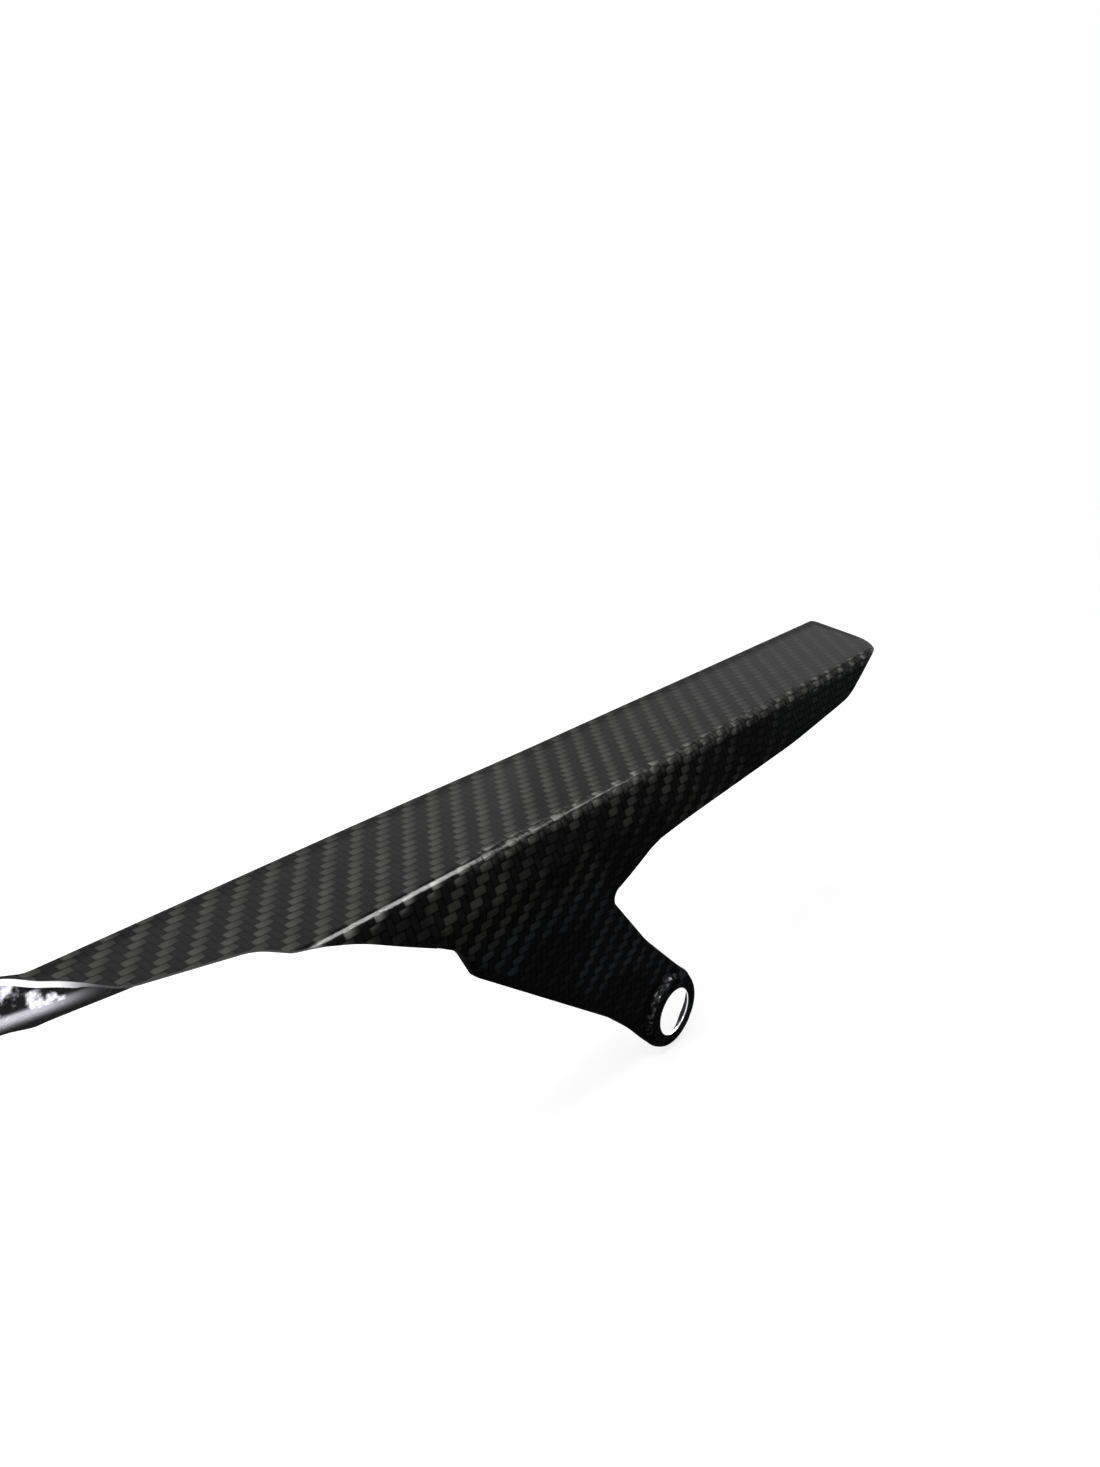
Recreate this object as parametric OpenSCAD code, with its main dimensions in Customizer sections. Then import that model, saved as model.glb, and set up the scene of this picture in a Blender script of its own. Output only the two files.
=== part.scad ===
// Motorcycle chain guard: one moulded carbon laminate that covers the upper
// run of the drive chain and hangs from a round eye at the foot of its arm.
//
// Millimetres. The origin is the centre of the arm's eye, on the eye's outer
// face. +X runs along the guard to its rear end, +Y runs from the outer side
// towards the wheel, +Z is up.

/* [Laminate] */
// Thickness of the laminate
wall = 1.3; // [1:0.1:2]
// Depth of the edges that turn inwards around the side panel and the rear end
lip = 3.2; // [2:0.1:6]

/* [Deck] */
// Height of the deck's upper face above the eye
deck_h = 73.4; // [60:0.2:90]
// Width of the deck from fold to wheel side
deck_w = 32.6; // [24:0.2:40]
// Reach of the deck's wheel-side edge in front of the eye
deck_front = 157; // [130:1:190]
// Reach of the deck's wheel-side corner behind the eye
deck_rear = 135.8; // [110:0.2:170]
// How much shorter the deck is at the fold than at the wheel side, at the rear
deck_slant = 10.4; // [0:0.2:14]
// Radius of the deck's rear corner at the fold
deck_corner_r = 18; // [8:0.5:24]
// Bend radius between the deck and the wheel-side flange
flange_r = 2.2; // [1.8:0.1:6]
// Bend radius of the fold between the deck and the side panel
fold_r = 2.2; // [1.8:0.1:6]

/* [Side panel] */
// Height of the flared strip under the fold
flare_h = 10; // [6:0.5:14]
// How far the flared strip leans out
flare_out = 4.2; // [2:0.1:7]
// Bend radius of the crease under the flared strip
crease_r = 7; // [2:0.5:12]
// Reach of the side panel in front of the eye
side_front = 118; // [100:1:140]
// Reach of the side panel behind the eye
side_rear = 121.5; // [90:0.5:134]
// Depth of the side panel just behind the arm
waist_drop = 17.8; // [14:0.2:22]
// Depth of the side panel where its lower edge starts to rise to the rear end
tail_drop = 8.2; // [5:0.2:12]

/* [Arm] */
// Distance of the shoulder, where the arm leaves the panel, in front of the eye
shoulder_x = 82.6; // [70:0.2:100]
// Depth of the shoulder below the deck
shoulder_drop = 14.4; // [9:0.1:18]
// Distance of the step under the shoulder in front of the eye
step_x = 76; // [60:0.2:90]
// Depth of the step below the deck
step_drop = 25.2; // [18:0.2:32]
// Distance of the elbow behind the arm in front of the eye
elbow_x = 28.4; // [22:0.2:36]
// Depth of the elbow below the deck
elbow_drop = 26.8; // [20:0.5:34]
// How far the arm's front edge hollows from the line between step and eye
front_bow = 2; // [0:0.1:6]
// How far the arm's rear edge hollows from the line between elbow and eye
rear_bow = 1.4; // [0:0.1:4]

/* [Eye] */
// Diameter of the hole in the eye
eye_bore_d = 13.6; // [10:0.1:16]
// Diameter of the eye's flat face
eye_d = 20.8; // [17.6:0.1:23]
// Rise of the eye's face above the arm
eye_rise = 2; // [1.2:0.1:3]
// How much wider the eye is at its foot than at its face, all round
eye_flare = 0.7; // [0.4:0.1:2]
// Radius of the arm's end around the eye
tip_r = 10.9; // [10.6:0.1:16]

/* [Wheel-side flange] */
// Depth of the flange below the deck
flange_h = 11.8; // [9:0.2:18]
// Depth of the flange at the rear end
flange_tail = 4.4; // [3.4:0.2:8]
// Length of the tab in front of the deck
tab_len = 39; // [28:1:55]
// Rise of the tab above the deck
tab_rise = 3; // [0:0.1:5]
// Diameter of the bolt hole in the tab
tab_bore_d = 6.4; // [4.2:0.1:7.8]

/* [Hidden] */
arm_y = eye_rise;                 // outer face of the arm
fold_y = arm_y + flare_out;       // outer face at the fold
far_y = fold_y + deck_w;          // outer face of the flange
over = 4;                         // how far a cutting prism passes the sheet
cross = 0.97;                     // share of a radius at which a straight edge meets its disc
tip_45 = tip_r * cos(45) * cross;
tab_front = deck_front + tab_len;
tab_h = flange_h - 2;
circle_fn = 96;
bend_steps = 6;

// Corner radii of the outlines
lap = 0.8;                        // how far the deck's outline laps over the fold
shoulder_r = 9;
step_r = 4;
elbow_r = 3.6;
waist_r = 17;
tail_r = 26;
bow_r = 60;                       // long, shallow curves
far_corner_r = 4.2;
nose_r = 16;                      // where the deck's trimmed front runs out

// Lengths along the outlines
tail_len = 24;                    // the panel's lower edge rises over this length at the rear
tail_bow = 1.6;                   // fullness of the lower edge between arm and tail
nose_len = 12.5;                  // the deck's trimmed front edge in front of its middle
nose_gap = 5.5;                   // the same at a quarter of the width
flange_inset = 3;                 // the flange ends this far in front of the deck's rear corner
flange_ease = 1.2;                // the flange is this much shallower at its front

// Unit vector from p to q
function dir(p, q) = (q - p) / norm(q - p);

// Points of a bend of radius r at corner c between neighbours a and b
function bend(a, c, b, r, n) =
    let (u = dir(c, a), v = dir(c, b),
         half = acos(u * v) / 2,
         reach = min(r / tan(half), norm(a - c) / 2.05, norm(b - c) / 2.05),
         rad = reach * tan(half),
         mid = c + dir([0, 0], u + v) * rad / sin(half),
         p = c + u * reach - mid,
         turn = (u[0] * v[1] - u[1] * v[0] > 0 ? -1 : 1) * (180 - 2 * half))
    [for (i = [0 : n]) let (t = turn * i / n)
        mid + [p[0] * cos(t) - p[1] * sin(t), p[0] * sin(t) + p[1] * cos(t)]];

// Closed outline with a radius at each corner, from [x, y, radius] corners
function rounded(c, n = 8) =
    [for (i = [0 : len(c) - 1])
        let (k = len(c),
             p = c[(i + k - 1) % k], q = c[i], s = c[(i + 1) % k])
        each q[2] == 0 ? [[q[0], q[1]]]
            : bend([p[0], p[1]], [q[0], q[1]], [s[0], s[1]], q[2], n)];

// Outward unit normal of an edge of an anticlockwise outline
function edge_normal(p, q) = let (d = dir(p, q)) [d[1], -d[0]];

// Corners of a closed anticlockwise outline moved inwards by t
function inset(c, t) =
    [for (i = [0 : len(c) - 1])
        let (k = len(c),
             m = edge_normal(c[(i + k - 1) % k], c[i]),
             n = edge_normal(c[i], c[(i + 1) % k]))
        c[i] - (m + n) * t / (1 + m * n)];

// Point at share k of the way from p to q, moved by d to the right of that way
function beside(p, q, k, d) = p + (q - p) * k + edge_normal(p, q) * d;

// Side view outline of the flared strip, side panel and arm, in X and Z
step_p = [-step_x, deck_h - step_drop];
elbow_p = [-elbow_x, deck_h - elbow_drop];
foot_p = [-tip_45, -tip_45];
heel_p = [tip_45, tip_45];
front_p = beside(step_p, foot_p, 0.74, -front_bow);
rear_p = beside(heel_p, elbow_p, 0.5, -rear_bow);
belly_drop = (waist_drop * 2 + tail_drop) / 3 - tail_bow;
side_outline = rounded([
    [side_rear + over * 1.5, deck_h + over, 0],
    [-side_front - over * 1.5, deck_h + over, 0],
    [-side_front - over * 1.5, deck_h + 1, 0],
    [-side_front * 2 / 3 - shoulder_x / 3, deck_h - shoulder_drop * 0.22, bow_r],
    [-shoulder_x, deck_h - shoulder_drop, shoulder_r],
    [step_p[0], step_p[1], step_r],
    [front_p[0], front_p[1], bow_r],
    [foot_p[0], foot_p[1], 0],
    [heel_p[0], heel_p[1], 0],
    [rear_p[0], rear_p[1], bow_r],
    [elbow_p[0], elbow_p[1], elbow_r],
    [-elbow_x * 0.35, deck_h - waist_drop, waist_r],
    [side_rear * 0.5, deck_h - belly_drop, bow_r * 3],
    [side_rear - tail_len, deck_h - tail_drop, tail_r]]);

// Plan outline of the deck, in X and Y
deck_outline = rounded([
    [deck_rear - deck_slant, fold_y - lap, deck_corner_r],
    [deck_rear, far_y + 0.02, far_corner_r],
    [-deck_front, far_y + 0.02, 0],
    [-deck_front + nose_len, fold_y + deck_w * 0.48, nose_r],
    [-side_front - nose_gap, fold_y + deck_w * 0.25, shoulder_r],
    [-side_front + lap * 2, fold_y - lap, 0]]);

// Side view outline of the flange, in X and Z
flange_end = deck_rear - flange_inset;
flange_outline = rounded([
    [-deck_front, deck_h - flange_h + flange_ease, 0],
    [-deck_front + tail_len, deck_h - flange_h, bow_r],
    [flange_end - tail_len - 7, deck_h - flange_h, bow_r],
    [flange_end, deck_h - flange_tail, flange_inset],
    [flange_end, deck_h + over, 0],
    [-deck_front, deck_h + over, 0]]);

// Side view outline of the tab that carries on from the flange, in X and Z
tab_top = deck_h + tab_rise;
tab_outline = rounded([
    [-deck_front + 1, deck_h - flange_h + flange_ease, 0],
    [-deck_front + 1, deck_h - flange_r, 0],
    [-deck_front - tab_h / 2, tab_top, shoulder_r],
    [-tab_front, tab_top, tab_h / 2],
    [-tab_front, tab_top - tab_h, tab_h / 2],
    [-deck_front - tab_h * 1.4, tab_top - tab_h, bow_r / 2]]);

// Cross-section of the sheet in Y and Z, t thick, from the flange over the
// deck and the flared strip down to the arm's end
module section(t) {
    corner = [
        [far_y, deck_h - flange_h * 2],
        [far_y, deck_h],
        [fold_y, deck_h],
        [arm_y, deck_h - flare_h],
        [arm_y, -tip_r - over]];
    radius = [flange_r, fold_r, crease_r];
    inner = inset(concat(corner, [[far_y * 3, -tip_r - over], [far_y * 3, -tip_r]]), t);
    outer_path = [corner[0],
        for (i = [1 : 3]) each bend(corner[i - 1], corner[i], corner[i + 1],
                                    radius[i - 1], bend_steps),
        corner[4]];
    inner_path = [
        [corner[4][0] + t, corner[4][1]],
        for (i = [3 : -1 : 1]) each bend(inner[i + 1], inner[i], inner[i - 1],
                                         max(radius[i - 1] - t, wall / 4), bend_steps),
        [corner[0][0] - t, corner[0][1]]];
    polygon(concat(outer_path, inner_path));
}

// The bent sheet, t thick, long enough for every outline to be cut from it
module sheet(t) {
    translate([-deck_front - over, 0, 0])
        rotate([90, 0, 90])
            linear_extrude(deck_front + deck_rear + 2 * over) section(t);
}

// Prism along Y from y0 to y1 over an outline in X and Z
module across(y0, y1, outline) {
    translate([0, y1, 0]) rotate([90, 0, 0]) linear_extrude(y1 - y0) polygon(outline);
}

// Disc about the eye's axis from y0 to y1, of radius r at y0 and foot_r at y1
module eye_disc(y0, y1, r, foot_r = 0) {
    translate([0, y1, 0]) rotate([90, 0, 0])
        cylinder(h = y1 - y0, r1 = foot_r == 0 ? r : foot_r, r2 = r, $fn = circle_fn);
}

// Everything inside the side outline, drawn in by t from its edge
module side_block(t) {
    y1 = fold_y + fold_r;
    across(-over, y1, t == 0 ? side_outline : inset(side_outline, t));
    eye_disc(-over, y1, tip_r - t);
}

module side_panel() {
    intersection() {
        sheet(wall);
        side_block(0);
    }
    // Edge turned inwards round the panel and the arm
    intersection() {
        sheet(lip);
        difference() {
            side_block(0);
            side_block(wall);
            translate([-deck_front, -over, deck_h - wall])
                cube([deck_front + deck_rear, far_y, over * 2]);
        }
    }
}

module deck() {
    intersection() {
        sheet(wall);
        translate([0, 0, deck_h - wall - 0.1])
            linear_extrude(wall + 2) polygon(deck_outline);
    }
    // Edge turned down along the rear end
    intersection() {
        translate([0, 0, deck_h - lip])
            linear_extrude(lip - wall / 2) difference() {
                polygon(deck_outline);
                polygon(inset(deck_outline, wall));
            }
        translate([deck_rear - deck_slant - over, fold_y + wall, 0])
            cube([deck_rear, deck_w - wall * 1.5, deck_h]);
    }
}

module flange() {
    intersection() {
        sheet(wall);
        across(far_y - flange_r, far_y + over, flange_outline);
    }
    difference() {
        across(far_y - wall, far_y, tab_outline);
        translate([-tab_front + tab_h / 2, far_y + over, tab_top - tab_h / 2])
            rotate([90, 0, 0]) cylinder(h = wall + 2 * over, d = tab_bore_d, $fn = circle_fn);
    }
}

// Space under the raised eye, widening towards the wheel side
module eye_hollow() {
    slope = eye_flare / eye_rise;
    side = wall * sqrt(1 + slope * slope);
    eye_disc(wall, arm_y + wall + over, eye_d / 2 + wall * slope - side,
             eye_d / 2 + (arm_y + wall + over) * slope - side);
}

// Raised ring with a sloping side, pressed out of the arm's end
module eye() {
    difference() {
        eye_disc(0, arm_y + 0.5, eye_d / 2, eye_d / 2 + eye_flare * (1 + 0.5 / eye_rise));
        eye_hollow();
    }
}

// The whole guard, one laminate
module chain_guard() {
    color([0.09, 0.09, 0.10])
    difference() {
        union() {
            difference() {
                side_panel();
                eye_hollow();
            }
            eye();
            deck();
            flange();
        }
        eye_disc(-over, fold_y, eye_bore_d / 2);
    }
}

chain_guard();
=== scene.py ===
import bpy, bmesh, math
from mathutils import Matrix, Vector


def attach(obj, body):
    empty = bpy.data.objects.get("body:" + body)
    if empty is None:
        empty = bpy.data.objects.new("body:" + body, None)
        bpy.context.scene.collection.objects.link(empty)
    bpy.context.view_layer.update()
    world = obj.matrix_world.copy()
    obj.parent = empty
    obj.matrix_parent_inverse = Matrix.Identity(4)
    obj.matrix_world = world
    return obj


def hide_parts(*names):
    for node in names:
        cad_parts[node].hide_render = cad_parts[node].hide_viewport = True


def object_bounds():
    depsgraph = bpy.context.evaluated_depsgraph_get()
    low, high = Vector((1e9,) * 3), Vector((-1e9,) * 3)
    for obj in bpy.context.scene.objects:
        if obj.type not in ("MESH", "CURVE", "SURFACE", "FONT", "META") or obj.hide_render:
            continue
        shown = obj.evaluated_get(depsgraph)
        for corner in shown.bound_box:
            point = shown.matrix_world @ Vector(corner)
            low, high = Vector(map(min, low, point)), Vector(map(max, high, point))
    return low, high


# Chain guard for a motorcycle: one carbon laminate, seen from its outer side.
# The guard's own lengths are millimetres and are scaled at the end; everything else is in metres.
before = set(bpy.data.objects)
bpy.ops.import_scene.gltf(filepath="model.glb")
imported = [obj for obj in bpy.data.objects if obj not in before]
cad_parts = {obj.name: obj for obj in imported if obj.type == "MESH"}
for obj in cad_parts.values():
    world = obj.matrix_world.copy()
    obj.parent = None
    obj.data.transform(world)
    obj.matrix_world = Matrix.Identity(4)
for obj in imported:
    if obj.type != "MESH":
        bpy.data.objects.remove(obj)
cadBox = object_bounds()

guard = {
    "deckHeight": 73.4, "foldY": 6.2, "farY": 38.8, "armY": 2.0, "flareHeight": 10.0,
    "flangeBend": 2.2, "foldBend": 2.6, "creaseBend": 4.0,
    "sectionFoot": -40, "armRun": 190,      # ends of the section, beyond the sheet's outline
    "deckZero": 21,                         # v on the deck is this less Y
    "farLift": (0.62, 0.45, 1.93),          # the far edge rises: at the rear, added ahead, added at the tab
    "liftFrom": ((-10, -90), (-155.5, -163)), "openFrom": (-161, -170),
    "tipRadius": 10.9, "tipSteps": 32, "tabHeight": 9.8, "frontEnd": -196,
    "spacing": (1.2, 3.0), "closeToEye": 40, "closeToEnd": -180,
    "eyeRise": 2.0, "eyeCrest": 9.9, "eyeFoot": 11.8, "eyeArc": 36,
    "eyeRings": (6.8, 7.0, 7.4, 8.2, 9.0, 9.6, 9.9, 10.2, 10.5, 10.8, 11.1, 11.4, 11.7, 12.0, 12.5, 13.4,
                 14.6, 16.0),
    "tabHole": 3.2, "tabZone": 7.5, "tabArc": 12, "tabRings": (0.0, 0.2, 0.5, 1.0),
    "wall": 1.3, "softEdge": 0.2, "lip": 3.0, "tipLip": 1.4, "bendLip": 1.2, "bendReach": 2,
    "brim": 0.25, "rollSteps": 7, "cutShare": 0.85,
    "passes": {"roll": 6, "turn": 3, "grow": 12, "depth": 4},
    "sharpTurn": 0.6, "bendSteps": 8, "creaseSteps": 6, "bendMargin": 0.35,
    "crossCuts": ((-170, 1.5, 12), (-150, 10, 28)),             # start, step and count of the cuts across
    "thinEdge": 0.4, "thinEdgeTo": (1.2, 4.2), "frontZone": (-100, -10),
    "thinBore": 0.3, "thinBoreTo": (9.0, 11.5),
    "tow": 2.0, "weaveTurn": 1.289, "weaveStart": (79.8, 0.0),
}
edges = {               # roll radius, how far the edge is turned in (0 flat, 1 fully), reach past the outline
    "cut": (1.8, 0.0, 0.0),
    "front": (1.8, 0.0, 0.0),
    "tab": (0.6, 0.0, 0.0),
    "rim": (1.0, 1.0, 1.3),
    "side": (1.2, 1.0, 0.95),
    "elbow": (1.5, 1.0, 1.9),
    "armRear": (1.5, 1.0, 0.75),
    "tipRear": (1.2, 1.0, 1.2),
    "tip": (1.2, 1.0, 0.0),
    "armFront": (1.2, 1.0, 0.5),
}


# The sheet's cross-section as one path from the flange, over the deck and down the arm.
# v runs along it towards the outer side.
def sheetPath():
    g = guard
    flareFoot = g["deckHeight"] - g["flareHeight"]
    corners = [Vector(c) for c in ((g["farY"], g["sectionFoot"]), (g["farY"], g["deckHeight"]),
                                   (g["foldY"], g["deckHeight"]), (g["armY"], flareFoot),
                                   (g["armY"], g["sectionFoot"]))]
    pieces, start = [], corners[0]
    for i, radius in enumerate((g["flangeBend"], g["foldBend"], g["creaseBend"])):
        a, c, b = corners[i:i + 3]
        come, go = (c - a).normalized(), (b - c).normalized()
        turn = math.acos(max(-1, min(1, come.dot(go))))
        side = 1 if come.x * go.y - come.y * go.x > 0 else -1
        reach = radius * math.tan(turn / 2)
        bend = c - come * reach
        pieces.append({"start": start, "way": come, "length": (bend - start).length, "turn": 0, "side": side})
        pieces.append({"start": bend, "way": come, "length": radius * turn, "turn": turn, "side": side})
        start = c + go * reach
    pieces.append({"start": start, "way": (corners[4] - corners[3]).normalized(), "length": g["armRun"],
                   "turn": 0, "side": 1})
    at = 0
    for piece in pieces:
        piece["v"] = at
        at += piece["length"]
    deck = pieces[2]
    shift = g["deckZero"] - deck["start"].x - deck["v"]
    for piece in pieces:
        piece["v"] += shift
    return pieces


path = sheetPath()


# Point of the section at v, and the direction out of the sheet there
def onPath(v):
    piece = path[0]
    for candidate in path:
        if v >= candidate["v"]:
            piece = candidate
    along, way, side = v - piece["v"], piece["way"], piece["side"]
    if piece["turn"] == 0:
        return piece["start"] + way * along, Vector((-way.y, way.x)) * -side
    radius = piece["length"] / piece["turn"]
    angle = along / radius
    toCentre = Vector((-way.y, way.x)) * side
    turned = way * math.sin(angle) + toCentre * (1 - math.cos(angle))
    heading = way * math.cos(angle) + toCentre * math.sin(angle)
    return piece["start"] + turned * radius, Vector((-heading.y, heading.x)) * -side


def deckV(y):
    return guard["deckZero"] - y


def flangeV(z):
    bend = path[1]
    return bend["v"] - (bend["start"].y - z)


def sideV(z):
    low, high = path[3]["v"], path[6]["v"] + guard["armRun"]
    for _ in range(50):
        middle = (low + high) / 2
        if onPath(middle)[0].y > z:
            low = middle
        else:
            high = middle
    return low


# 0 at start, 1 at full, smooth between
def eased(value, start, full):
    t = max(0.0, min(1.0, (value - start) / (full - start)))
    return t * t * (3 - 2 * t)


# How far the deck's far edge stands above the plain section at u
def lift(u):
    rear, ahead, tab = guard["farLift"]
    aheadFrom, tabFrom = guard["liftFrom"]
    return rear + ahead * eased(u, *aheadFrom) + tab * eased(u, *tabFrom)


# Section point and outward direction of the folded sheet; towards the tab's end the fold opens out flat
def folded(u, across):
    spot, normal = onPath(across)
    opened = eased(u, *guard["openFrom"])
    if opened > 0:
        straight = Vector((guard["farY"], path[1]["start"].y + across - path[1]["v"]))
        spot, normal = spot.lerp(straight, opened), normal.lerp(Vector((1, 0)), opened).normalized()
    share = max(0.0, min(1.0, (path[3]["v"] - across) / (path[3]["v"] - path[2]["v"])))
    return spot + Vector((0, lift(u) * share)), normal


print("sheet path", [round(piece["v"], 2) for piece in path])

tabTop = path[1]["v"] + guard["flangeBend"]
tabLow = tabTop - guard["tabHeight"]
tabEye = Vector((guard["frontEnd"] + guard["tabHeight"] / 2, tabTop - guard["tabHeight"] / 2))
eyeV = sideV(0)
eye = Vector((0, eyeV))


# Outline of the flat sheet: u, v, corner radius, kind of the edge that starts here
def sheetCorners():
    top, tabRound, frontEnd = guard["deckHeight"], guard["tabHeight"] / 2, guard["frontEnd"]
    ahead = [
        (-156, flangeV(top - 11.6), 45, "cut"),
        (-136, flangeV(top - 13.4), 60, "cut"),
        (101.8, flangeV(top - 12.4), 60, "cut"),
        (131.6, flangeV(top - 4.6), 3, "rim"),
        (134.9, deckV(36.6), 4.5, "rim"),
        (126.95, deckV(10.37), 18, "rim"),
        (97.5, sideV(top - 8.2), 26, "side"),
        (60.75, sideV(top - 13.0), 180, "side"),
        (-9.94, sideV(top - 17.8), 17, "elbow"),
        (-28.4, sideV(top - 26.8), 3.6, "armRear"),
        (-11.4, sideV(26.2), 60, "armRear"),
    ]
    behind = [
        (-23.7, sideV(9.3), 60, "armFront"),
        (-75.2, sideV(top - 25.8), 4, "armFront"),
        (-80.3, sideV(top - 16.7), 10, "armFront"),
        (-88.5, sideV(top - 12.3), 16, "front"),
        (-106.2, sideV(top - 3.8), 50, "front"),
        (-120.2, deckV(7.5), 3, "front"),
        (-124.4, deckV(13.5), 8, "front"),
        (-147.3, deckV(20.5), 7, "front"),
        (-153.6, deckV(30.6), 30, "cut"),
        (-159.6, deckV(35.9), 8, "cut"),
        (-165, deckV(36.3), 10, "cut"),
        (-172, tabTop, 14, "cut"),
        (frontEnd, tabTop, tabRound, "tab"),
        (frontEnd, tabLow, tabRound, "tab"),
        (-178, tabLow, 30, "cut"),
        (-163.5, flangeV(top - 12.25), 25, "cut"),
    ]
    return ahead, behind


def roundCorner(before, corner, after, radius, steps=10):
    a, c, b = Vector(before), Vector(corner), Vector(after)
    toA, toB = (a - c).normalized(), (b - c).normalized()
    half = math.acos(max(-1, min(1, toA.dot(toB)))) / 2
    reach = min(radius / math.tan(half), (a - c).length / 2.05, (b - c).length / 2.05)
    radius = reach * math.tan(half)
    middle = c + (toA + toB).normalized() * radius / math.sin(half)
    first = c + toA * reach - middle
    turn = (math.pi - 2 * half) * (-1 if toA.x * toB.y - toA.y * toB.x > 0 else 1)
    spots = []
    for i in range(steps + 1):
        cos, sin = math.cos(turn * i / steps), math.sin(turn * i / steps)
        spots.append(middle + Vector((first.x * cos - first.y * sin, first.x * sin + first.y * cos)))
    return spots


def sheetOutline():
    ahead, behind = sheetCorners()
    steps, diagonal = guard["tipSteps"], guard["tipRadius"] * math.cos(math.radians(45))
    heel, foot = (diagonal, eyeV - diagonal), (-diagonal, eyeV + diagonal)
    ring = ahead + [heel, foot] + behind
    points = []
    for i, corner in enumerate(ring):
        if corner is heel:                                  # round the free end of the arm, heel to foot
            for k in range(steps + 1):
                angle = math.radians(-45 + 180 * k / steps)
                spot = Vector((math.cos(angle), math.sin(angle))) * guard["tipRadius"]
                points.append((spot + eye, "tipRear" if k < steps / 2 else "tip"))
        elif corner is not foot:
            before, after = ring[i - 1], ring[(i + 1) % len(ring)]
            spots = roundCorner(before[:2], corner[:2], after[:2], corner[2])
            points += [(spot, corner[3]) for spot in spots]
    return points


def resample(points):
    near, far = guard["spacing"]
    out = []
    for i, (p, kind) in enumerate(points):
        q = points[(i + 1) % len(points)][0]
        out.append((p, kind))
        close = min((p - eye).length, (q - eye).length) < guard["closeToEye"] and edges[kind][1] > 0
        close = close or max(p.x, q.x) < guard["closeToEnd"]
        count = int((q - p).length / (near if close else far))
        for k in range(1, count + 1):
            out.append((p.lerp(q, k / (count + 1)), kind))
    return out


outline = resample(sheetOutline())
print("outline points", len(outline))


def smoothed(values, passes):
    count = len(values)
    for _ in range(passes):
        values = [(values[i - 1] + values[i] * 2 + values[(i + 1) % count]) / 4 for i in range(count)]
    return values


# First and last outline point within reach of the hole at an end of the sheet
def zoneSpan(inner, kinds, centre, reach):
    at = [i for i, (_, kind) in enumerate(outline) if kind in kinds]
    first, last = at[0], at[-1]
    while (inner[first - 1] - centre).length < reach:
        first -= 1
    while (inner[last + 1] - centre).length < reach:
        last += 1
    return first, last


# Rings of faces from a hole out to the outline points of its zone, closed by an arc across the sheet
def ringZone(bm, inner, kinds, centre, bore, reach, shares, arcCount):
    first, last = zoneSpan(inner, kinds, centre, reach)
    p, q = inner[last] - centre, inner[first] - centre
    fromAngle, toAngle = math.atan2(p.y, p.x), math.atan2(q.y, q.x)
    while toAngle < fromAngle:
        toAngle += 2 * math.pi
    arc = []
    for k in range(1, arcCount):
        t = k / arcCount
        angle, away = fromAngle + (toAngle - fromAngle) * t, p.length * (1 - t) + q.length * t
        arc.append(centre + Vector((math.cos(angle), math.sin(angle))) * away)
    around = inner[first:last + 1] + arc
    rings = []
    for share in shares:
        ring = bmesh.ops.create_circle(bm, segments=len(around), radius=bore + share)["verts"]
        for vert, target in zip(ring, around):
            place = (centre + (target - centre).normalized() * bore).lerp(target, share)
            vert.co = (place.x, place.y, 0)
        rings.append(ring)
    for a, b in zip(rings, rings[1:]):
        pair = set(a) | set(b)
        loops = {e for vert in pair for e in vert.link_edges if e.other_vert(vert) in pair}
        bmesh.ops.bridge_loops(bm, edges=[e for e in bm.edges if e in loops])
    return first, last, arc


# Roll radius, turn, reach and lip depth at each outline point, and its outward direction
def edgeValues():
    g, passes = guard, guard["passes"]
    places = [p for p, _ in outline]
    bends = [(piece["v"], piece["v"] + piece["length"]) for piece in path if piece["turn"] > g["sharpTurn"]]
    depths = []
    for p, kind in outline:
        onBend = any(a - g["bendReach"] < p.y < b + g["bendReach"] for a, b in bends)
        depths.append(g["bendLip"] if onBend else g["tipLip"] if kind in ("tip", "tipRear") else g["lip"])
    depths = smoothed(depths, passes["depth"])
    rolls = smoothed([edges[kind][0] for _, kind in outline], passes["roll"])
    rolls = [min(pair) for pair in zip(rolls, depths)]
    turns = smoothed([edges[kind][1] for _, kind in outline], passes["turn"])
    grows = smoothed([edges[kind][2] for _, kind in outline], passes["grow"])
    ways = []
    for i, b in enumerate(places):
        a, c = places[i - 1], places[(i + 1) % len(places)]
        m, n = (b - a).normalized(), (c - b).normalized()
        m, n = Vector((m.y, -m.x)), Vector((n.y, -n.x))
        ways.append((m + n) / (1 + m.dot(n)))
    inner = [p + way * (grow - roll - g["brim"]) for p, way, grow, roll in zip(places, ways, grows, rolls)]
    return rolls, turns, depths, ways, inner


# The flat sheet inside its edge, with rings of faces round the holes of the eye and the tab
def flatSheet(bm, inner):
    g = guard
    radii = g["eyeRings"]
    shares = [(radius - radii[0]) / (radii[-1] - radii[0]) for radius in radii]
    first, last, arc = ringZone(bm, inner, ("tip", "tipRear"), eye, radii[0], radii[-1], shares, g["eyeArc"])
    tabFirst, tabLast, tabArc = ringZone(bm, inner, ("tab",), tabEye, g["tabHole"], g["tabZone"],
                                         g["tabRings"], g["tabArc"])
    rest = inner[last:tabFirst + 1] + tabArc[::-1] + inner[tabLast:] + inner[:first + 1] + arc[::-1]
    bm.faces.new([bm.verts.new((p.x, p.y, 0)) for p in rest])
    bmesh.ops.remove_doubles(bm, verts=bm.verts, dist=0.002)
    bmesh.ops.recalc_face_normals(bm, faces=bm.faces)
    bm.normal_update()
    if sum(f.normal.z * f.calc_area() for f in bm.faces) < 0:
        bmesh.ops.reverse_faces(bm, faces=bm.faces)


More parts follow.
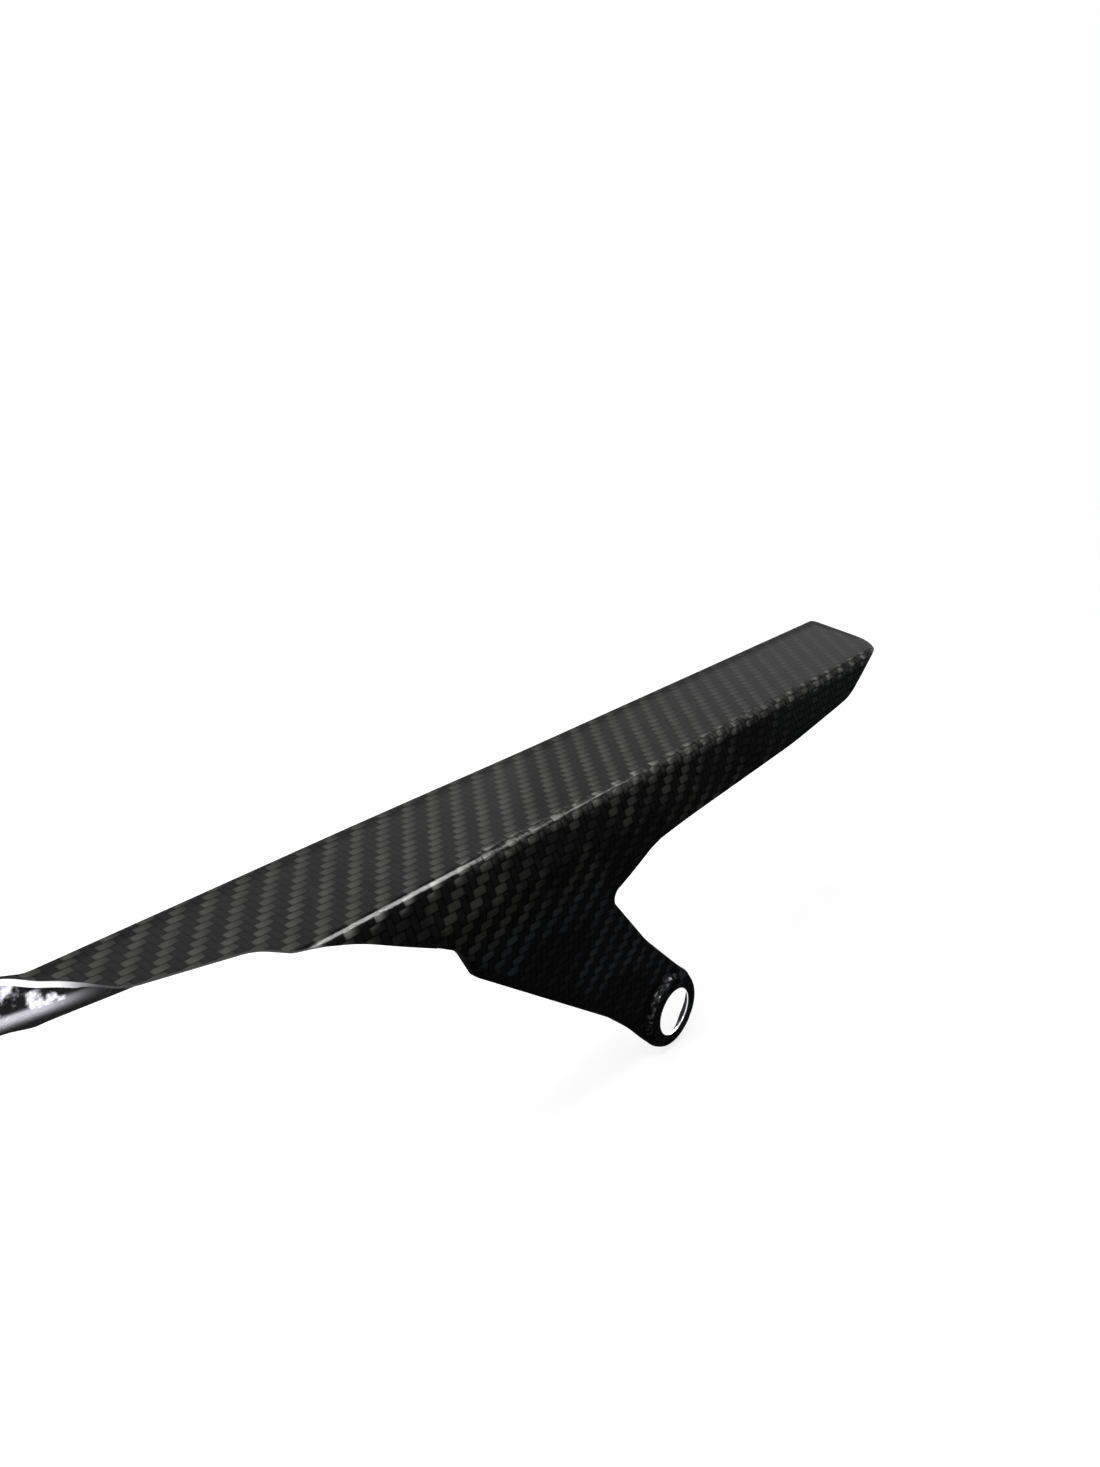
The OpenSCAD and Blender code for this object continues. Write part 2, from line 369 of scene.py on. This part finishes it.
# Turned edge: rings of faces outwards from the sheet's boundary. Flat keeps each point's place on the cloth.
def turnEdge(bm, flat, number, rolls, turns, depths, ways, inner):
    g = guard
    rim = [e for e in bm.edges if e.is_boundary and all(vert[number] >= 0 for vert in e.verts)]
    steps = [("roll", k / g["rollSteps"]) for k in range(g["rollSteps"] + 1)] + [("lip", 0.5), ("lip", 1.0)]
    for part, t in steps:
        made = bmesh.ops.extrude_edge_only(bm, edges=rim)["geom"]
        rim = [e for e in made if isinstance(e, bmesh.types.BMEdge)]
        for vert in made:
            if not isinstance(vert, bmesh.types.BMVert):
                continue
            i = vert[number]
            roll, turned = rolls[i], turns[i]
            if part == "roll":
                angle = t * math.pi / 2
                offset, depth, unrolled = roll * math.sin(angle), roll * (1 - math.cos(angle)), roll * angle
                plain = roll * t * g["cutShare"]
            else:
                lip = max(depths[i] - roll, 0.1) * t
                offset, depth, unrolled = roll, roll + lip, roll * math.pi / 2 + lip
                plain = roll * (g["cutShare"] + (1 - g["cutShare"]) * t)
            plain = plain * (1 - turned) + g["brim"]
            place = inner[i] + ways[i] * (offset * turned + plain)
            laid = inner[i] + ways[i] * (unrolled * turned + plain)
            vert.co = (place.x, place.y, -depth * turned)
            vert[flat] = (laid.x, laid.y, 0)


# A cut leaves its points in an order that changes from run to run
def sortParts(bm):
    verts = sorted(bm.verts, key=lambda vert: tuple(vert.co))
    lines = sorted(bm.edges, key=lambda e: tuple(e.verts[0].co + e.verts[1].co))
    faces = sorted(bm.faces, key=lambda f: tuple(f.calc_center_median()))
    for parts, ordered in ((bm.verts, verts), (bm.edges, lines), (bm.faces, faces)):
        rank = {part: k for k, part in enumerate(ordered)}
        parts.sort(key=rank.get)


# Edges along the bends, and across where the far edge rises
def cutSheet(bm):
    g = guard
    for piece in path:
        if not piece["turn"]:
            continue
        a, b = piece["v"], piece["v"] + piece["length"]
        count = g["bendSteps"] if piece["turn"] > g["sharpTurn"] else g["creaseSteps"]
        cuts = [a - g["bendMargin"], b + g["bendMargin"]]
        cuts += [a + (b - a) * k / count for k in range(count + 1)]
        for across in cuts:
            bmesh.ops.bisect_plane(bm, geom=bm.verts[:] + bm.edges[:] + bm.faces[:], dist=0.0005,
                                   plane_co=(0, across, 0), plane_no=(0, 1, 0))
    for u in [start + step * k for start, step, count in g["crossCuts"] for k in range(count)]:
        deck = [f for f in bm.faces if all(vert.co.y < path[3]["v"] + 0.01 for vert in f.verts)]
        onDeck = set(deck)
        around = [part for part in bm.verts[:] + bm.edges[:] if not onDeck.isdisjoint(part.link_faces)]
        bmesh.ops.bisect_plane(bm, geom=around + deck, dist=0.0005, plane_co=(u, 0, 0), plane_no=(1, 0, 0))
    sortParts(bm)
    bmesh.ops.remove_doubles(bm, verts=bm.verts, dist=0.03)
    bmesh.ops.dissolve_degenerate(bm, edges=bm.edges, dist=0.01)
    sortParts(bm)


# The weave's own coordinates, in tow widths
def mapWeave(bm, flat):
    g = guard
    turn = math.radians(g["weaveTurn"])
    cos, sin = math.cos(turn) / g["tow"], math.sin(turn) / g["tow"]
    uv = bm.loops.layers.uv.new("weave")
    for face in bm.faces:
        for loop in face.loops:
            u, v = loop.vert[flat].x + g["weaveStart"][0], loop.vert[flat].y + g["weaveStart"][1]
            loop[uv].uv = (u * cos - v * sin, u * sin + v * cos)


# The wall's share at each point: thinner at the front edge and in the bore
def thinWall(bm):
    g = guard
    weights = bm.verts.layers.deform.verify()
    frontEdge = [p for p, kind in outline if kind == "front"]
    for vert in bm.verts:
        spot = vert.co.xy
        weight = g["thinBore"] + (1 - g["thinBore"]) * eased((spot - eye).length, *g["thinBoreTo"])
        if spot.x < g["frontZone"][0] and spot.y > g["frontZone"][1]:
            near = min((spot - p).length for p in frontEdge)
            weight = g["thinEdge"] + (1 - g["thinEdge"]) * eased(near, *g["thinEdgeTo"])
        vert[weights][0] = weight


def makeGuard():
    g = guard
    rolls, turns, depths, ways, inner = edgeValues()
    bm = bmesh.new()
    flat = bm.verts.layers.float_vector.new("flat")
    number = bm.verts.layers.int.new("outlinePoint")
    flatSheet(bm, inner)
    numbers = {(round(p.x, 3), round(p.y, 3)): i for i, p in enumerate(inner)}
    for vert in bm.verts:
        vert[flat] = (vert.co.x, vert.co.y, 0)
        vert[number] = numbers.get((round(vert.co.x, 3), round(vert.co.y, 3)), -1)
    print("outline points found on the sheet", sum(vert[number] >= 0 for vert in bm.verts), "of", len(inner))
    turnEdge(bm, flat, number, rolls, turns, depths, ways, inner)
    cutSheet(bm)
    mapWeave(bm, flat)
    thinWall(bm)
    for vert in bm.verts:                                   # raise the eye, then fold the sheet
        u, across, height = vert.co
        height += g["eyeRise"] * eased(math.hypot(u, across - eye.y), g["eyeFoot"], g["eyeCrest"])
        spot, normal = folded(u, across)
        place = spot + normal * height
        vert.co = Vector((u, place.x, place.y)) * 0.001
    bmesh.ops.reverse_faces(bm, faces=bm.faces)
    bm.normal_update()
    mesh = bpy.data.meshes.new("chainGuardShell")
    bm.to_mesh(mesh)
    bm.free()
    mesh.shade_smooth()
    piece = bpy.data.objects.new("chainGuardShell", mesh)
    bpy.context.collection.objects.link(piece)
    wall = piece.modifiers.new("wall", "SOLIDIFY")
    wall.thickness, wall.offset, wall.use_even_offset = g["wall"] / 1000, -1, True
    wall.vertex_group = piece.vertex_groups.new(name="wallShare").name
    wall.material_offset, wall.material_offset_rim = 1, 2
    soft = piece.modifiers.new("softEdges", "BEVEL")
    soft.width, soft.segments = g["softEdge"] / 1000, 2
    soft.limit_method, soft.angle_limit = "ANGLE", math.radians(60)
    return piece


# Two-over-two twill: how domed a tow is each way, where a float carries its painted highlight, fibres across
# and along a tow
twill = {"across": 2.5, "along": 4.0, "light": (-0.5, 0.7), "fibres": (15.0, 0.5), "firstTow": (400.5, 0.5)}
carbon = {
    # the lengthwise colour is far lighter than the crosswise one as painted sheen of the same fibres
    "lengthwise": (0.0245, 0.0252, 0.0224), "crosswise": (0.0048, 0.0049, 0.0055), "tail": 0.5,
    "streak": 0.35, "towShade": 0.15, "seam": 0.75, "seamFrom": (0.25, 0.85),
    "relief": 0.00008, "fibreRelief": 0.3,
    "paintedSheenFade": (-0.03, 0.12, 1.0, 0.35),                       # painted sheen fading towards the rear: from, to, share there
    "deckFrom": (0.0045, 0.0075), "paintedSideSheenFade": (0.0, 0.08, 1.0, 0.25),
    "uneven": (48, 0.42, 0.58, 0.2, 1.75),                  # patches of weaker and stronger painted sheen: size, from, to, shares there
    # painted haze: crosswise tows on the sides are coloured lighter towards the rear
    "rearFrom": (0.03, 0.09), "paintedRearHaze": (0.0075, 0.0092, 0.0092),
    # painted shade: the arm's lengthwise tows get a darker, bluer colour
    "armHeight": (0.050, 0.058), "paintedArmShade": (0.0185, 0.0208, 0.0238), "paintedEdgeShade": 0.9,
    # painted shade where the arm's edges turn in and along its front edge
    "turnedFrom": (0.0021, 0.0026), "armEdge": (0.7437, 0.00833), "armEdgeTo": (0.0022, 0.0036),
    # painted glint colour, and where it lies on the fold and on the eye's slope
    "paintedGlint": (0.1, 0.1, 0.095), "foldFrom": (0.0049, 0.0057), "foldTo": (0.0066, 0.0072),
    "foldSpread": 0.0014, "glintSpecksFrom": (-0.084, -0.066), "glintSpecks": (520, 0.42, 0.56, 0.35), "towFill": 0.3,
    "eyeArc": (0.0101, 0.0104, 0.0110, 0.0114), "arcSide": (0.007, 0.012), "arcGlintSpecks": (1300, 0.47, 0.6),
    "roughness": 0.3, "specular": 0.0, "coat": 0.03, "coatRoughness": 0.12, "coatIor": 1.2,
    "farBand": (0.0325, 0.0350), "rimBand": (0.1235, 0.1250), "rimSlant": 0.2, "bandShade": 0.42,
    "foldDull": 0.8,
}
resin = {
    "colour": (0.004, 0.004, 0.005), "film": (0.8, 0.78, 0.86), "roughness": (0.12, 0.35), "specular": 0.1,
    "wrinkle": (260, 4, 0.6), "relief": 0.001, "patch": (190, 0.49, 0.63), "frontOnly": (-0.122, -0.136),
    "edgeHeight": 0.0614, "edgeAt": -0.140, "edgeSlope": -0.126,    # the flange's lower edge near the front
    "band": (0.0003, 0.0026, 0.0030, 0.0042), "bandShare": 0.75, "bandFrom": (-0.139, -0.156),
}
cutEdge = {
    "dark": (0.01, 0.01, 0.0105), "light": (0.03, 0.03, 0.0315), "grain": 900, "film": (0.84, 0.83, 0.88),
    "roughness": 0.2, "frontOnly": (-0.149, -0.155), "bore": (0.0074, 0.0082),
}


def wire(tree, value, socket):
    if hasattr(value, "links"):
        tree.links.new(value, socket)
    else:
        socket.default_value = value


def wireAll(tree, shader, values):
    for name, value in values.items():
        wire(tree, value, shader.inputs[name])


def calc(tree, operation, *values):
    node = tree.nodes.new("ShaderNodeMath")
    node.operation = operation
    for value, socket in zip(values, node.inputs):
        wire(tree, value, socket)
    return node.outputs[0]


def times(tree, first, *others):
    for other in others:
        first = calc(tree, "MULTIPLY", first, other)
    return first


# a where factor is 0, b where it is 1
def blend(tree, factor, a, b):
    return calc(tree, "ADD", times(tree, factor, b), times(tree, calc(tree, "SUBTRACT", 1.0, factor), a))


# low where value is 0, high where it is 1
def between(tree, value, low, high):
    return calc(tree, "MULTIPLY_ADD", value, high - low, low)


def ramp(tree, value, start, full, low=0.0, high=1.0):
    node = tree.nodes.new("ShaderNodeMapRange")
    node.interpolation_type = "SMOOTHSTEP"
    for socket, number in zip(node.inputs, (value, start, full, low, high)):
        wire(tree, number, socket)
    return node.outputs[0]


def hump(tree, value, low, lowFull, highFull, high):
    return times(tree, ramp(tree, value, low, lowFull), ramp(tree, value, highFull, high, 1.0, 0.0))


def noise(tree, vector, scale, detail=2.0, roughness=0.5):
    node = tree.nodes.new("ShaderNodeTexNoise")
    wireAll(tree, node, {"Vector": vector, "Scale": scale, "Detail": detail, "Roughness": roughness})
    return node.outputs[0]


def speckle(tree, place, settings, detail=2.0, roughness=0.6):
    return ramp(tree, noise(tree, place, settings[0], detail, roughness), *settings[1:])


def mixColour(tree, factor, a, b, mode="MIX"):
    node = tree.nodes.new("ShaderNodeMix")
    node.data_type, node.blend_type = "RGBA", mode
    wire(tree, factor, node.inputs["Factor"])
    for value, socket in ((a, node.inputs[6]), (b, node.inputs[7])):
        wire(tree, (*value, 1) if isinstance(value, tuple) else value, socket)
    return node.outputs[2]


def greyColour(tree, level):
    node = tree.nodes.new("ShaderNodeCombineColor")
    for socket in node.inputs[:3]:
        wire(tree, level, socket)
    return node.outputs[0]


def axes(tree, vector):
    parts = tree.nodes.new("ShaderNodeSeparateXYZ")
    tree.links.new(vector, parts.inputs[0])
    return parts.outputs[:3]


def fromEye(tree, x, z):
    return calc(tree, "SQRT", calc(tree, "MULTIPLY_ADD", x, x, times(tree, z, z)))


def bump(tree, height, distance, shader):
    node = tree.nodes.new("ShaderNodeBump")
    wireAll(tree, node, {"Distance": distance, "Strength": 1.0, "Height": height})
    tree.links.new(node.outputs["Normal"], shader.inputs["Normal"])


def newMaterial(name):
    made = bpy.data.materials.new(name)
    made.use_nodes = True
    return made, made.node_tree, made.node_tree.nodes["Principled BSDF"]


# The piece's own coordinates, whole and by axis
def ownPlace(tree):
    place = tree.nodes.new("ShaderNodeTexCoord").outputs["Object"]
    return place, *axes(tree, place)


def dome(tree, value, power):
    return calc(tree, "SUBTRACT", 1.0, calc(tree, "POWER", calc(tree, "ABSOLUTE", value), power))


# Weave is the sheet's own map, one unit to a tow
def makeTwill():
    tree = bpy.data.node_groups.new("twillWeave", "ShaderNodeTree")
    tree.interface.new_socket("Weave", in_out="INPUT", socket_type="NodeSocketVector")
    for name in ("Lengthwise", "Height", "Float", "Streak", "Tow"):
        tree.interface.new_socket(name, in_out="OUTPUT", socket_type="NodeSocketFloat")
    start, end = tree.nodes.new("NodeGroupInput"), tree.nodes.new("NodeGroupOutput")
    u, v, _ = axes(tree, start.outputs["Weave"])
    cellU, cellV = calc(tree, "FLOOR", u), calc(tree, "FLOOR", v)
    inU, inV = calc(tree, "FRACT", u), calc(tree, "FRACT", v)
    diagonal = calc(tree, "ADD", calc(tree, "ADD", cellU, cellV), 0.001)
    step = calc(tree, "FLOOR", calc(tree, "FLOORED_MODULO", diagonal, 4.0))
    lengthwise = calc(tree, "LESS_THAN", step, 1.5)
    upright = calc(tree, "ADD", calc(tree, "SUBTRACT", step, 2.0), inV)
    along = blend(tree, lengthwise, upright, calc(tree, "ADD", step, inU))
    along = calc(tree, "SUBTRACT", along, 1.0)                  # -1 to 1 along a float
    across = between(tree, blend(tree, lengthwise, inU, inV), -1.0, 1.0)
    domed = times(tree, dome(tree, across, twill["across"]), dome(tree, along, twill["along"]))
    fine, coarse = twill["fibres"]
    fibre = tree.nodes.new("ShaderNodeCombineXYZ")
    wire(tree, times(tree, u, blend(tree, lengthwise, fine, coarse)), fibre.inputs[0])
    wire(tree, times(tree, v, blend(tree, lengthwise, coarse, fine)), fibre.inputs[1])
    tow = tree.nodes.new("ShaderNodeTexWhiteNoise")
    tow.noise_dimensions = "1D"
    towU, towV = [calc(tree, "ADD", cell, first) for cell, first in zip((cellU, cellV), twill["firstTow"])]
    wire(tree, blend(tree, lengthwise, towU, towV), tow.inputs["W"])
    wireAll(tree, end, {
        "Lengthwise": lengthwise,
        "Height": calc(tree, "SQRT", calc(tree, "MAXIMUM", domed, 0.0)),
        # painted highlight: light at the front of each float, dark at its rear
        "Float": ramp(tree, along, *twill["light"], 1.0, 0.0),
        "Streak": noise(tree, fibre.outputs[0], 1.0),
        "Tow": tow.outputs["Value"],
    })
    return tree


def makeCarbon(weaveTree):
    c = carbon
    made, tree, shader = newMaterial("carbonLacquer")
    uv = tree.nodes.new("ShaderNodeUVMap")
    uv.uv_map = "weave"
    group = tree.nodes.new("ShaderNodeGroup")
    group.node_tree = weaveTree
    tree.links.new(uv.outputs[0], group.inputs["Weave"])
    lengthwise, height, paintedFloatHighlight, streak, tow = group.outputs[:5]
    place, x, y, z = ownPlace(tree)
    onDeck = ramp(tree, y, *c["deckFrom"])
    onArm = ramp(tree, z, *c["armHeight"], 1.0, 0.0)

    # painted sheen: tows laid lengthwise are coloured light as if their fibres caught the light; less so at
    # the rear, and in patches on the sides
    paintedSheen = times(tree, lengthwise, between(tree, paintedFloatHighlight, c["tail"], 1.0), ramp(tree, x, *c["paintedSheenFade"]))
    for onSide in (ramp(tree, x, *c["paintedSideSheenFade"]), speckle(tree, place, c["uneven"], roughness=0.5)):
        paintedSheen = times(tree, paintedSheen, blend(tree, onDeck, onSide, 1.0))
    # painted shade: the sheen is taken out where the arm's edges turn in and along its front edge
    slope, offset = c["armEdge"]                                # painted shade along the arm's front edge
    above = calc(tree, "ADD", calc(tree, "MULTIPLY_ADD", x, slope, z), offset)
    below = ramp(tree, above, *c["armEdgeTo"], 1.0, 0.0)
    paintedEdgeShadeMask = times(tree, onArm, calc(tree, "MAXIMUM", ramp(tree, y, *c["turnedFrom"]), below))
    paintedSheen = times(tree, paintedSheen, between(tree, paintedEdgeShadeMask, 1.0, 1 - c["paintedEdgeShade"]))

    # a painted highlight: a bright line on the fold, breaking up into painted glint specks towards the rear
    behind = ramp(tree, x, *c["glintSpecksFrom"])
    upper = calc(tree, "MULTIPLY_ADD", behind, -c["foldSpread"], y)
    fold = times(tree, ramp(tree, y, *c["foldFrom"]), ramp(tree, upper, *c["foldTo"], 1.0, 0.0))
    dull = times(tree, fold, behind, c["foldDull"])
    paintedBrightFloats = times(tree, lengthwise, paintedFloatHighlight)
    glintSpecks = times(tree, speckle(tree, place, c["glintSpecks"]), between(tree, paintedBrightFloats, c["towFill"], 1.0))
    # painted glints: specks in an arc on the eye's upper left slope
    arc = times(tree, hump(tree, fromEye(tree, x, z), *c["eyeArc"]),
                ramp(tree, calc(tree, "SUBTRACT", z, x), *c["arcSide"]), speckle(tree, place, c["arcGlintSpecks"]))
    paintedGlint = calc(tree, "MAXIMUM", times(tree, fold, blend(tree, behind, paintedBrightFloats, glintSpecks)), arc)

    # painted haze: crosswise tows on the sides are coloured lighter towards the rear
    rear = times(tree, ramp(tree, x, *c["rearFrom"]), calc(tree, "SUBTRACT", 1.0, onDeck))
    dark = mixColour(tree, rear, c["crosswise"], c["paintedRearHaze"])
    # painted shade: lengthwise tows on the arm get a darker, bluer copy of their colour
    colour = mixColour(tree, paintedSheen, dark, mixColour(tree, onArm, c["lengthwise"], c["paintedArmShade"]))
    colour = mixColour(tree, paintedGlint, colour, c["paintedGlint"])
    level = times(tree, between(tree, streak, 1 - c["streak"], 1 + c["streak"]),
                  between(tree, tow, 1 - c["towShade"], 1 + c["towShade"]),
                  between(tree, ramp(tree, height, *c["seamFrom"]), 1 - c["seam"], 1.0))

    slanted = calc(tree, "MULTIPLY_ADD", y, -c["rimSlant"], x)
    edge = calc(tree, "MAXIMUM", ramp(tree, y, *c["farBand"]), ramp(tree, slanted, *c["rimBand"]))
    shade = calc(tree, "MAXIMUM", times(tree, edge, c["bandShade"]), dull)
    wireAll(tree, shader, {
        "Base Color": mixColour(tree, 1.0, colour, greyColour(tree, level), "MULTIPLY"),
        "Roughness": c["roughness"], "Specular IOR Level": c["specular"],
        "Coat Weight": between(tree, shade, c["coat"], 0.0),
        "Coat Roughness": c["coatRoughness"], "Coat IOR": c["coatIor"],
    })
    bump(tree, calc(tree, "MULTIPLY_ADD", streak, c["fibreRelief"], height), c["relief"], shader)
    return made


# Dark inside, with crumpled, mirror-bright film near the front
def makeResin():
    c = resin
    made, tree, shader = newMaterial("innerResin")
    place, x, _, z = ownPlace(tree)
    wrinkle = noise(tree, place, *c["wrinkle"])
    lowerEdge = calc(tree, "MULTIPLY_ADD", x, c["edgeSlope"], c["edgeHeight"] - c["edgeSlope"] * c["edgeAt"])
    height = calc(tree, "SUBTRACT", z, lowerEdge)
    band = times(tree, hump(tree, height, *c["band"]), c["bandShare"], ramp(tree, x, *c["bandFrom"]))
    patch = times(tree, speckle(tree, place, c["patch"], 4), ramp(tree, height, *c["band"][1:3]))
    film = times(tree, calc(tree, "MAXIMUM", patch, band), ramp(tree, x, *c["frontOnly"]))
    wireAll(tree, shader, {
        "Base Color": mixColour(tree, film, c["colour"], c["film"]), "Metallic": film,
        "Roughness": between(tree, wrinkle, *c["roughness"]), "Specular IOR Level": c["specular"],
    })
    bump(tree, wrinkle, c["relief"], shader)
    return made


# Dark and sawn, but bright in the bore and on the deck's front end
def makeCutEdge():
    c = cutEdge
    made, tree, shader = newMaterial("cutEdge")
    place, x, _, z = ownPlace(tree)
    sawn = mixColour(tree, noise(tree, place, c["grain"], 3), c["dark"], c["light"])
    inBore = ramp(tree, fromEye(tree, x, z), *c["bore"], 1.0, 0.0)
    film = calc(tree, "MAXIMUM", ramp(tree, x, *c["frontOnly"]), inBore)
    wireAll(tree, shader, {
        "Base Color": mixColour(tree, film, sawn, c["film"]), "Metallic": film, "Roughness": c["roughness"],
    })
    return made


shell = makeGuard()
for material in (makeCarbon(makeTwill()), makeResin(), makeCutEdge()):
    shell.data.materials.append(material)
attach(shell, "root")
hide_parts("chain_guard")
print("shell", len(shell.data.vertices), "vertices")

view = {
    "place": (-0.241946, -0.153462, 0.195110), "right": (0.63455, -0.77288, 0.00357),
    "up": (0.28343, 0.23698, 0.92925), "ahead": (0.71904, 0.58864, -0.36943),
    "lens": 30.038, "sensor": 36, "clip": (0.01, 20),
}


def makeCamera():
    data = bpy.data.cameras.new("photoCamera")
    data.lens, data.sensor_width, data.sensor_fit = view["lens"], view["sensor"], "AUTO"
    data.clip_start, data.clip_end = view["clip"]
    camera = bpy.data.objects.new("photoCamera", data)
    bpy.context.collection.objects.link(camera)
    turned = Matrix((view["right"], view["up"], [-part for part in view["ahead"]])).transposed().to_4x4()
    camera.matrix_world = Matrix.Translation(view["place"]) @ turned
    bpy.context.scene.camera = camera


makeCamera()

studio = {
    "floorRadius": 12, "floorGap": 0.0004, "floorRoughness": 0.9, "floorBounce": 0.06, "world": 0.33,
    "shadow": 0.3, "shadowReach": (0.25, 0.9),  # share of the floor's white that the lamps give, near and far
    "floorLit": 0.75,
    "lamps": [                                  # name, place, aimed at, width, height, watts, only mirrored
        ("deckLight", (-0.28, 0.14, 0.60), (-0.05, 0.02, 0.07), 0.5, 0.5, 8.0, False),
        ("hazeLeft", (0.685, 1.17, 0.82), (-0.265, 0.21, 0.07), 0.85, 0.95, 57.0, True),
        ("hazeRight", (1.253, 0.6125, 0.82), (0.303, -0.35, 0.07), 0.75, 0.95, 35.0, True),
        ("foldLight", (0.531, -0.20, 0.823), (-0.07, 0.0, 0.07), 0.5, 0.36, 700.0, True),
        ("sideLight", (0.45, -0.65, 0.35), (0.03, 0.0, 0.05), 0.5, 0.4, 1.5, False),
        ("eyeLight", (-0.26, -0.76, 0.56), (0.0, 0.0, 0.0), 0.2, 0.2, 80.0, True),
    ],
}


# 1 for what the camera sees, directly, mirrored or through something; 0 for soft light
def seenRay(tree):
    rays = tree.nodes.new("ShaderNodeLightPath")
    seen = calc(tree, "MAXIMUM", rays.outputs["Is Camera Ray"], rays.outputs["Is Glossy Ray"])
    return calc(tree, "MAXIMUM", seen, rays.outputs["Is Transmission Ray"])


def makeFloor():
    mesh = bpy.data.meshes.new("floor")
    bm = bmesh.new()
    bmesh.ops.create_circle(bm, cap_ends=True, segments=96, radius=studio["floorRadius"])
    bmesh.ops.translate(bm, verts=bm.verts, vec=(0, 0, cadBox[0][2] - studio["floorGap"]))
    bm.to_mesh(mesh)
    bm.free()
    piece = bpy.data.objects.new("floor", mesh)
    bpy.context.collection.objects.link(piece)
    made, tree, shader = newMaterial("paleFloor")
    seen = seenRay(tree)
    distance = tree.nodes.new("ShaderNodeVectorMath")           # white further out, shadows near the guard
    distance.operation = "LENGTH"
    tree.links.new(ownPlace(tree)[0], distance.inputs[0])
    share = ramp(tree, distance.outputs["Value"], *studio["shadowReach"], studio["shadow"], 0.0)
    wireAll(tree, shader, {
        "Base Color": greyColour(tree, blend(tree, seen, studio["floorBounce"], share)),
        "Roughness": studio["floorRoughness"], "Specular IOR Level": 0.0, "Emission Color": (1, 1, 1, 1),
        "Emission Strength": times(tree, seen, between(tree, share, 1.0, 1 - studio["floorLit"])),
    })
    mesh.materials.append(made)


def makeLights():
    world = bpy.data.worlds.new("studio")
    bpy.context.scene.world = world
    world.use_nodes = True
    tree = world.node_tree
    strength = blend(tree, seenRay(tree), studio["world"], 1.0)
    wireAll(tree, tree.nodes["Background"], {"Color": (1, 1, 1, 1), "Strength": strength})
    for name, place, aim, width, height, watts, mirrored in studio["lamps"]:
        data = bpy.data.lights.new(name, "AREA")
        data.shape, data.size, data.size_y, data.energy = "RECTANGLE", width, height, watts
        lamp = bpy.data.objects.new(name, data)
        bpy.context.collection.objects.link(lamp)
        lamp.location, lamp.visible_diffuse, lamp.visible_camera = place, not mirrored, False
        lamp.rotation_euler = (Vector(aim) - Vector(place)).to_track_quat("-Z", "Y").to_euler()


makeFloor()
makeLights()
print("floor and lamps placed")

bpy.context.scene.view_settings.view_transform = "Standard"
